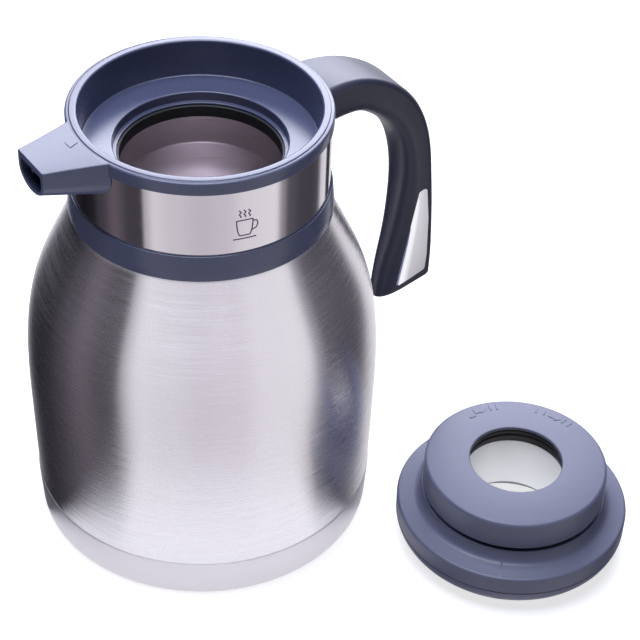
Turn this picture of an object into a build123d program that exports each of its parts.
from build123d import *
from math import radians, sin
import os

# Double-wall vacuum carafe with a pouring collar, spout and handle, and its separate brew-through lid.
# Frame: origin at the centre of the base's resting face, +Z up, spout towards -X, handle towards +X.

# Carafe heights
BASE_TOP = 19.3
BODY_TOP = 158.0
RING_TOP = 169.8
SKIRT_BOTTOM = 199.0
RIM_TOP = 205.0
SHELF_TOP = 188.5
NECK_TOP = 181.3

# Carafe radii
BASE_BOTTOM_R = 74.4
BASE_TOP_R = 75.5
RIM_R = 54.0
MOUTH_R = 49.2
SHELF_R = 48.4
THROAT_R = 35.7
SLEEVE_R = 53.2
NECK_R = 37.0
FLASK_NECK_R = 34.2
GASKET_SKIRT_LOW = 177.6

# Walls and fits
STEEL = 0.7
GAP = 0.1
COLLAR_WALL = 1.7

# Body profile as (radius, height), from the base seam to the shoulder ring
BODY_PROFILE = [(75.2, 19.4), (76.1, 60.0), (75.3, 97.0), (70.6, 121.0), (62.6, 140.0), (54.3, BODY_TOP)]
# Flask profile from the bend above its bottom to the shoulder, and the height where its neck begins
FLASK_PROFILE = [(69.0, 26.0), (70.2, 60.0), (69.2, 96.0), (64.4, 119.0), (55.6, 138.0), (43.6, 153.0)]
FLASK_NECK_LOW = 165.6

# Handle stations: outer (x, z), inner (x, z) and half width
HANDLE_STATIONS = [
    ((48.0, 200.6), (48.0, 179.8), 14.6),
    ((60.0, 201.2), (59.0, 181.0), 13.4),
    ((71.0, 199.8), (69.0, 181.3), 12.6),
    ((84.2, 194.4), (77.3, 178.4), 12.0),
    ((97.0, 184.4), (85.6, 172.0), 11.6),
    ((106.2, 170.8), (93.2, 162.8), 11.0),
    ((111.9, 154.2), (98.0, 150.8), 10.4),
    ((114.6, 137.0), (100.2, 136.0), 9.8),
    ((116.8, 120.0), (99.4, 119.0), 9.0),
    ((118.5, 103.0), (96.8, 101.0), 8.2),
    ((119.7, 87.0), (93.2, 84.0), 7.4),
    ((120.0, 75.4), (91.2, 69.0), 6.8),
]
HANDLE_OUTER_FILLET = 2.6
HANDLE_WAIST = 0.52
INLAY_DEPTH = 1.2
GRIP_SHARE = 0.62
GRIP_DEPTH = 2.6

# Spout
SPOUT_TIP_X = -75.6
SPOUT_TIP_HALF = 10.2
SPOUT_ROOT_HALF = 17.0
SPOUT_TIP_BOTTOM = 191.8
SPOUT_ROOT_BOTTOM = 184.6
SPOUT_WALL = 1.7

# Passage from the recess into the spout
SLOT_HALF = 8.6
SLOT_BOTTOM = 190.2
SLOT_TOP = 199.4

# Handle screws
SCREW_Y = 7.0
SCREW_Z = 191.0
SCREW_HEAD_X = 50.35
SCREW_HEAD_R = 2.9
SCREW_HEAD_THICK = 1.0
SCREW_R = 1.85
SCREW_LENGTH = 11.8

# Lid, as it lies on its dome beside the carafe
LID_X = 98.7
LID_Y = -102.9
LID_R = 51.4
LID_PARTING = 11.9
LID_WALL = 2.2
LID_CREST = 20.5
LID_COVE_R = 44.6
LID_COVE_LOW = 21.6
LID_SEAT = 28.4
LID_TOP = 43.6
PLUG_R = 40.4
PLUG_CROWN = 42.2
PLUG_WALL = 2.4
HOLE_R = 20.8
HOLE_EDGE_R = 20.4
SEAL_TOP = 41.8
SEAL_LOW = 34.2
SEAL_BACK_R = 23.1
VENT_R = 1.5
VENT_Z = 5.2
VENT_AZIMUTH = -133.9


def revolved(points):
    """Solid of revolution about Z from a closed (radius, height) outline of straight sides."""
    face = make_face(Polyline(*[(r, 0, z) for r, z in points], close=True))
    return revolve(face, Axis.Z)


def ring(inner, outer, bottom, top):
    """Plain ring about Z."""
    height = top - bottom
    body = Cylinder(outer, height) - Cylinder(inner, height + 2)
    return Pos(0, 0, bottom + height / 2) * body


def at_lid(solid):
    """Move a solid made about the origin to the place where the lid lies."""
    return Pos(LID_X, LID_Y, 0) * solid


def on_side(points):
    """Points of the half plane of radius and height, as points in space."""
    return [(r, 0, z) for r, z in points]


def curved_shell(outer, inner, extra_outer, extra_inner):
    """Thin pressed shell between two smooth curves, each one carried on by straight stretches."""
    out_curve = Spline(*on_side(outer))
    in_curve = Spline(*on_side(inner))
    out_line = Polyline(*on_side([outer[-1]] + extra_outer))
    in_line = Polyline(*on_side([inner[-1]] + extra_inner))
    close_top = Line(*on_side([extra_outer[-1], extra_inner[-1]]))
    close_low = Line(*on_side([outer[0], inner[0]]))
    return revolve(make_face([out_curve, out_line, close_top, in_line, in_curve, close_low]), Axis.Z)


def outer_shell():
    """Brushed outer wall: barrel body, shoulder and the narrow neck up to the rolled lip."""
    inner = [(r - STEEL, z) for r, z in BODY_PROFILE[:-1]] + [(BODY_PROFILE[-1][0] - STEEL, BODY_TOP - STEEL)]
    up = [(44.0, 162.4), (NECK_R, 166.0), (NECK_R, NECK_TOP)]
    up_inner = [(43.6, 161.6), (NECK_R - STEEL, 165.4), (NECK_R - STEEL, NECK_TOP)]
    return curved_shell(BODY_PROFILE, inner, up, up_inner)


def inner_flask():
    """Inner wall that holds the drink, with its dished bottom and its neck."""
    neck_outer_r = FLASK_NECK_R + STEEL
    lip_r = NECK_R - STEEL - GAP / 2
    wall = Spline(*on_side(FLASK_PROFILE + [(neck_outer_r, FLASK_NECK_LOW)]))
    inside = [(r - STEEL, z + 0.4) for r, z in FLASK_PROFILE] + [(FLASK_NECK_R, FLASK_NECK_LOW - 0.4)]
    wall_in = Spline(*on_side(inside))
    lip = Polyline(*on_side([
        (neck_outer_r, FLASK_NECK_LOW), (neck_outer_r, NECK_TOP - STEEL), (lip_r, NECK_TOP - STEEL),
        (lip_r, NECK_TOP), (FLASK_NECK_R, NECK_TOP), (FLASK_NECK_R, FLASK_NECK_LOW - 0.4),
    ]))
    low_outer = Line(*on_side([(0.0, 15.0), (50.0, 15.6)]))
    low_bend = Spline(*on_side([(50.0, 15.6), (63.5, 18.6), FLASK_PROFILE[0]]))
    bend_in = Spline(*on_side([(FLASK_PROFILE[0][0] - STEEL, 26.4), (62.9, 19.4), (49.8, 16.4)]))
    low_inner = Polyline(*on_side([(49.8, 16.4), (0.0, 15.8), (0.0, 15.0)]))
    return revolve(make_face([low_outer, low_bend, wall, lip, wall_in, bend_in, low_inner]), Axis.Z)


def base_band():
    """Satin base cup: short drafted wall, rounded lower edge and a turned-in foot."""
    wall = 0.9
    return revolved([
        (BASE_TOP_R, BASE_TOP - 0.4), (BASE_TOP_R - 0.4, BASE_TOP), (BASE_TOP_R - 2.6, BASE_TOP),
        (BASE_TOP_R - 2.6, BASE_TOP - wall), (BASE_TOP_R - wall, BASE_TOP - wall),
        (BASE_BOTTOM_R - wall, 3.2), (72.2, wall), (66.0, wall), (66.0, 0.0), (72.0, 0.0),
        (73.6, 0.8), (BASE_BOTTOM_R, 2.4),
    ])


def vacuum_plate():
    """Dished plate welded into the outer wall, which closes the vacuum space from below."""
    plate = revolved([
        (0, 9.0), (58.0, 9.0), (66.0, 11.0), (72.2, 11.0), (72.2, 18.0), (71.5, 18.0),
        (71.5, 11.8), (65.8, 11.8), (57.8, 9.8), (0, 9.8),
    ])
    return plate - Cylinder(2.0, 40)


def foot_pad():
    """Moulded pad pressed into the base cup, with a raised resting ring that the carafe stands on."""
    return revolved([
        (0, 2.2), (55.0, 2.2), (56.0, 0.0), (65.8, 0.0), (65.8, 1.6), (70.0, 1.6), (70.0, 4.0), (0, 4.0),
    ])


def shoulder_ring():
    """Moulded ring between the body and the neck sleeve, with the step that the sleeve stands in."""
    return revolved([
        (55.1, BODY_TOP + 0.4), (55.1, 161.0), (54.1, RING_TOP), (SLEEVE_R + GAP, RING_TOP),
        (SLEEVE_R + GAP, 166.4), (50.2, 166.4), (50.2, 162.6), (51.4, 160.6), (54.0, BODY_TOP + 0.4),
    ])


def neck_sleeve():
    """Polished decorative sleeve round the neck, with clearance holes for the two handle screws."""
    body = ring(SLEEVE_R - STEEL, SLEEVE_R, 166.5, 202.4)
    body -= Pos(-SLEEVE_R, 0, 200.0) * Box(8, 24, 22)
    for side in (-1, 1):
        body -= Pos(SLEEVE_R, side * SCREW_Y, SCREW_Z) * Cylinder(2.3, 12, rotation=(0, 90, 0))
    return body


def collar():
    """Pouring collar: rim, drafted recess, shelf, throat lip and the threaded tube round the neck."""
    outer_r = MOUTH_R + COLLAR_WALL
    body = revolved([
        (RIM_R - 0.8, RIM_TOP), (RIM_R, RIM_TOP - 0.8), (RIM_R, SKIRT_BOTTOM), (SLEEVE_R + GAP, SKIRT_BOTTOM),
        (SLEEVE_R + GAP, 202.6), (outer_r, 202.6), (SHELF_R + COLLAR_WALL, 186.6), (42.2, 186.2),
        (41.2, 184.0), (41.2, 168.0), (NECK_R + GAP, 168.0), (NECK_R + GAP, 183.0), (34.6, 183.0),
        (34.6, 184.0), (THROAT_R, 184.8), (THROAT_R, 187.8), (THROAT_R + 0.4, 188.2), (SHELF_R, SHELF_TOP),
        (MOUTH_R, RIM_TOP - 1.0), (MOUTH_R + 0.9, RIM_TOP),
    ])
    slot = Box(12, 2 * SLOT_HALF, SLOT_TOP - SLOT_BOTTOM)
    return body - Pos(-51.5, 0, (SLOT_TOP + SLOT_BOTTOM) / 2) * slot


def throat_gasket():
    """Black silicone gasket between the collar's throat and the flask's lip, with a skirt inside the neck."""
    flange_low = NECK_TOP + GAP / 2
    flange_top = 182.95
    skirt_r = FLASK_NECK_R - GAP
    skirt_wall = 1.0
    return revolved([
        (skirt_r - skirt_wall, GASKET_SKIRT_LOW), (skirt_r, GASKET_SKIRT_LOW), (skirt_r, flange_low),
        (NECK_R, flange_low), (NECK_R, flange_top), (skirt_r - skirt_wall, flange_top),
    ])


def spout_section(x, half, bottom, inset):
    """Closed section of the spout across X: flat top, upright sides and a round bottom."""
    top = RIM_TOP - (inset + 1.0 if inset else 0.0)
    low = bottom + inset
    side = half - inset
    bend = low + (top - low) * 0.55
    flat = Line((x, -side, top), (x, side, top))
    right = Line((x, side, top), (x, side * 0.98, bend))
    under = Spline(
        (x, side * 0.98, bend), (x, side * 0.62, low + (bend - low) * 0.16), (x, 0, low),
        (x, -side * 0.62, low + (bend - low) * 0.16), (x, -side * 0.98, bend),
    )
    left = Line((x, -side * 0.98, bend), (x, -side, top))
    return make_face([flat, right, under, left])


def spout():
    """Pouring spout: a tapering trough with a closed top, fitted against the collar and the sleeve."""
    near = -50.0
    body = loft([
        spout_section(SPOUT_TIP_X, SPOUT_TIP_HALF, SPOUT_TIP_BOTTOM, 0),
        spout_section(near, SPOUT_ROOT_HALF, SPOUT_ROOT_BOTTOM, 0),
    ])
    hollow = loft([
        spout_section(SPOUT_TIP_X - 1, SPOUT_TIP_HALF, SPOUT_TIP_BOTTOM, SPOUT_WALL),
        spout_section(near, SPOUT_ROOT_HALF, SPOUT_ROOT_BOTTOM, SPOUT_WALL),
    ])
    clear = Pos(0, 0, 200) * Cylinder(RIM_R + 0.05, 60)
    return body - hollow - clear


def station_plane(outer, inner):
    """Plane of one handle station, with its origin on the back, and the depth to the finger side."""
    back = Vector(outer[0], 0, outer[1])
    nose = Vector(inner[0], 0, inner[1])
    across = Vector(0, 1, 0)
    along = (nose - back).normalized()
    return Plane(origin=back, x_dir=across, z_dir=across.cross(along)), (nose - back).length


def handle_section(outer, inner, half):
    """D-shaped handle section: flat back with small round corners, elliptical towards the fingers."""
    plane, depth = station_plane(outer, inner)
    f = HANDLE_OUTER_FILLET
    waist = depth * HANDLE_WAIST
    s = sin(radians(45))
    pts = Polyline((-half + f, 0), (half - f, 0))
    corner_r = ThreePointArc((half - f, 0), (half - f + f * s, f - f * s), (half, f))
    flank_r = Line((half, f), (half, waist))
    nose_half = EllipticalCenterArc((0, waist), half, depth - waist, start_angle=0, arc_size=180)
    flank_l = Line((-half, waist), (-half, f))
    corner_l = ThreePointArc((-half, f), (-half + f - f * s, f - f * s), (-half + f, 0))
    face = make_face([pts, corner_r, flank_r, nose_half, flank_l, corner_l])
    return plane * face


def handle_body():
    """Whole handle volume, before the inlay pockets and the screw holes."""
    body = loft([handle_section(o, i, h) for o, i, h in HANDLE_STATIONS])
    clear = revolved([
        (0, 170), (SLEEVE_R + 0.05, 170), (SLEEVE_R + 0.05, SKIRT_BOTTOM - 0.05),
        (RIM_R + 0.05, SKIRT_BOTTOM - 0.05), (RIM_R + 0.05, 210), (0, 210),
    ])
    return body - clear


def inlay_outline(shrink):
    """Tapered window outline of the bright inlay in the handle's side view."""
    k = shrink
    points = [
        (107.8 + k * 0.8, 127.4 - k * 1.6), (112.2 - k, 128.6 - k * 1.6), (115.2 - k, 110.0),
        (116.6 - k, 88.0), (116.4 - k, 79.4 + k), (100.6 + k * 1.2, 74.8 + k),
    ]
    outline = Polyline(*[(x, 0, z) for x, z in points], close=True)
    return make_face(outline)


def inlay_prism(side, shrink):
    """Prism of the inlay window on one side of the handle, from the mid plane outwards."""
    return extrude(inlay_outline(shrink), amount=20, dir=(0, side, 0))


def handle_parts():
    """Handle moulding with two pockets, its inner grip strip and the two bright inlays."""
    whole = handle_body()
    core = loft([
        handle_section(o, i, h - INLAY_DEPTH) for o, i, h in HANDLE_STATIONS
    ])
    skin = whole - core
    inlays = []
    moulding = whole
    for side in (-1, 1):
        pocket = inlay_prism(side, 0.0) & skin
        moulding = moulding - pocket
        inlays.append(inlay_prism(side, GAP) & skin)
    grip = grip_strip(0.0)
    slot = grip_strip(GAP)
    moulding = moulding - slot
    for side in (-1, 1):
        moulding -= Pos(SLEEVE_R, side * SCREW_Y, SCREW_Z) * Cylinder(SCREW_R + GAP, 24, rotation=(0, 90, 0))
    return moulding, grip & whole, inlays


def grip_strip(grow):
    """Strip let into the finger side of the handle, from the knee to the free end."""
    faces = []
    for outer, inner, half in HANDLE_STATIONS[3:11]:
        plane, depth = station_plane(outer, inner)
        wide = half * GRIP_SHARE + grow
        low = depth - GRIP_DEPTH - grow
        past = depth + GRIP_DEPTH
        outline = Polyline((-wide, low), (wide, low), (wide, past), (-wide, past), close=True)
        faces.append(plane * make_face(outline))
    return loft(faces)


def handle_screws():
    """Two pan-head screws that run from inside the collar through the sleeve into the handle."""
    screws = []
    for side in (-1, 1):
        head_x = SCREW_HEAD_X + SCREW_HEAD_THICK / 2
        shank_x = SCREW_HEAD_X + SCREW_HEAD_THICK + SCREW_LENGTH / 2
        turn = (0, 90, 0)
        head = Pos(head_x, side * SCREW_Y, SCREW_Z) * Cylinder(SCREW_HEAD_R, SCREW_HEAD_THICK, rotation=turn)
        shank = Pos(shank_x, side * SCREW_Y, SCREW_Z) * Cylinder(SCREW_R, SCREW_LENGTH, rotation=turn)
        screws.append(head + shank)
    return Compound(children=screws)


def lid_dome():
    """Lower half as it lies: the rounded cap that is the lid's top in use, with its small vent hole."""
    r = LID_R
    bore_r = r - LID_WALL
    arc = ThreePointArc((38.0, 0, 0.0), (47.33, 0, 3.7), (r, 0, LID_PARTING))
    rise = Line((r, 0, LID_PARTING), (bore_r, 0, LID_PARTING))
    arc_in = ThreePointArc((bore_r, 0, LID_PARTING), (45.8, 0, 5.2), (38.0, 0, LID_WALL))
    floor_in = Line((38.0, 0, LID_WALL), (30.0, 0, LID_WALL))
    cone_in = Line((30.0, 0, LID_WALL), (24.4, 0, 8.0))
    cone_end = Line((24.4, 0, 8.0), (22.2, 0, 8.0))
    cone_out = Line((22.2, 0, 8.0), (29.2, 0, 0.0))
    floor = Line((29.2, 0, 0.0), (38.0, 0, 0.0))
    cap = revolve(make_face([arc, rise, arc_in, floor_in, cone_in, cone_end, cone_out, floor]), Axis.Z)
    vent = Pos(r, 0, VENT_Z) * Cylinder(VENT_R, LID_WALL * 10, rotation=(0, 90, 0))
    return cap - Rot(0, 0, VENT_AZIMUTH) * vent


def lid_skirt():
    """Upper half as it lies: flange with a crisp crest, and a cove that rises to the plug's seat."""
    r = LID_R
    low = LID_PARTING + GAP
    bore_r = r - LID_WALL
    seat_z = LID_SEAT - 1.6
    side = Line((r, 0, low), (r, 0, LID_CREST - 1.2))
    crest = ThreePointArc((r, 0, LID_CREST - 1.2), (r - 0.35, 0, LID_CREST - 0.35), (r - 1.2, 0, LID_CREST))
    flange = Line((r - 1.2, 0, LID_CREST), (LID_COVE_R, 0, LID_COVE_LOW))
    cove = ThreePointArc((LID_COVE_R, 0, LID_COVE_LOW), (41.9, 0, 23.2), (PLUG_R + 0.2, 0, seat_z))
    seat = Line((PLUG_R + 0.2, 0, seat_z), (33.0, 0, seat_z))
    drop = Line((33.0, 0, seat_z), (33.0, 0, seat_z - LID_WALL))
    under = Line((33.0, 0, seat_z - LID_WALL), (38.4, 0, seat_z - LID_WALL))
    cove_in = ThreePointArc((38.4, 0, seat_z - LID_WALL), (40.0, 0, 21.3), (43.6, 0, 19.4))
    flange_in = Line((43.6, 0, 19.4), (bore_r, 0, LID_CREST - LID_WALL))
    wall_in = Line((bore_r, 0, LID_CREST - LID_WALL), (bore_r, 0, low))
    foot = Line((bore_r, 0, low), (r, 0, low))
    lines = [side, crest, flange, cove, seat, drop, under, cove_in, flange_in, wall_in, foot]
    return revolve(make_face(lines), Axis.Z)


def funnel():
    """Brew-through tube between the cap's mouth and the plug."""
    return revolved([
        (24.5, 8.1), (22.2, 8.1), (HOLE_R + 1.6, 12.0), (HOLE_R + 1.6, 33.6), (HOLE_R + 3.4, 33.6),
        (HOLE_R + 3.4, 27.0), (32.8, 27.0), (32.8, 25.2), (HOLE_R + 3.4, 25.2), (HOLE_R + 3.4, 12.6),
    ])


def plug_ring():
    """Plug that turns on the cap: thick ring with a crisp crown and a lip round the central hole."""
    r = PLUG_R
    foot = LID_SEAT + 0.2
    inner_r = r - PLUG_WALL
    side = Line((r, 0, foot), (r, 0, PLUG_CROWN - 1.5))
    crown = ThreePointArc((r, 0, PLUG_CROWN - 1.5), (r - 0.45, 0, PLUG_CROWN - 0.4), (r - 1.5, 0, PLUG_CROWN))
    top = Line((r - 1.5, 0, PLUG_CROWN), (HOLE_EDGE_R + 0.6, 0, LID_TOP))
    bevel = Line((HOLE_EDGE_R + 0.6, 0, LID_TOP), (HOLE_EDGE_R, 0, LID_TOP - 0.5))
    edge = Line((HOLE_EDGE_R, 0, LID_TOP - 0.5), (HOLE_EDGE_R, 0, SEAL_TOP + 0.3))
    lip = Line((HOLE_EDGE_R, 0, SEAL_TOP + 0.3), (SEAL_BACK_R + 0.1, 0, SEAL_TOP + 0.1))
    bore = Line((SEAL_BACK_R + 0.1, 0, SEAL_TOP + 0.1), (SEAL_BACK_R + 0.1, 0, SEAL_LOW - 0.2))
    bore_end = Line((SEAL_BACK_R + 0.1, 0, SEAL_LOW - 0.2), (SEAL_BACK_R + 2.3, 0, SEAL_LOW - 0.2))
    back = Polyline((SEAL_BACK_R + 2.3, 0, SEAL_LOW - 0.2), (SEAL_BACK_R + 2.3, 0, 40.8), (35.6, 0, 39.8))
    inside = Polyline((35.6, 0, 39.8), (inner_r, 0, 38.0), (inner_r, 0, foot), (r, 0, foot))
    return revolve(make_face([side, crown, top, bevel, edge, lip, bore, bore_end, back, inside]), Axis.Z)


def hole_seal():
    """Black double-ribbed silicone seal that lines the plug's hole, under its lip."""
    valley = HOLE_R + 1.1
    return revolved([
        (SEAL_BACK_R, SEAL_TOP), (valley, SEAL_TOP), (valley, 41.5), (HOLE_R, 40.7), (HOLE_R, 39.9),
        (valley, 39.1), (valley, 38.3), (HOLE_R + 0.2, 37.6), (HOLE_R + 0.2, 36.7), (valley, 36.0),
        (valley, SEAL_LOW), (SEAL_BACK_R, SEAL_LOW),
    ])


def plug_seal():
    """Sealing ring in the corner between the plug and the flange."""
    return ring(PLUG_R - 5.4, PLUG_R - 2.8, LID_SEAT - 1.5, LID_SEAT + 1.8)


def main():
    """Build every sub-part and write one STEP for each."""
    moulding, grip, inlays = handle_parts()
    parts = {
        "outer_shell": outer_shell(),
        "inner_flask": inner_flask(),
        "base_band": base_band(),
        "vacuum_plate": vacuum_plate(),
        "foot_pad": foot_pad(),
        "shoulder_ring": shoulder_ring(),
        "neck_sleeve": neck_sleeve(),
        "collar": collar(),
        "throat_gasket": throat_gasket(),
        "spout": spout(),
        "handle": moulding,
        "handle_grip": grip,
        "handle_inlay_front": inlays[0],
        "handle_inlay_back": inlays[1],
        "handle_screws": handle_screws(),
        "lid_dome": at_lid(lid_dome()),
        "lid_skirt": at_lid(lid_skirt()),
        "lid_funnel": at_lid(funnel()),
        "lid_seal": at_lid(plug_seal()),
        "plug_ring": at_lid(plug_ring()),
        "hole_seal": at_lid(hole_seal()),
    }
    os.makedirs("parts", exist_ok=True)
    for name, solid in parts.items():
        export_step(solid, f"parts/{name}.step")
        print(name, round(solid.volume), len(solid.solids()))


main()
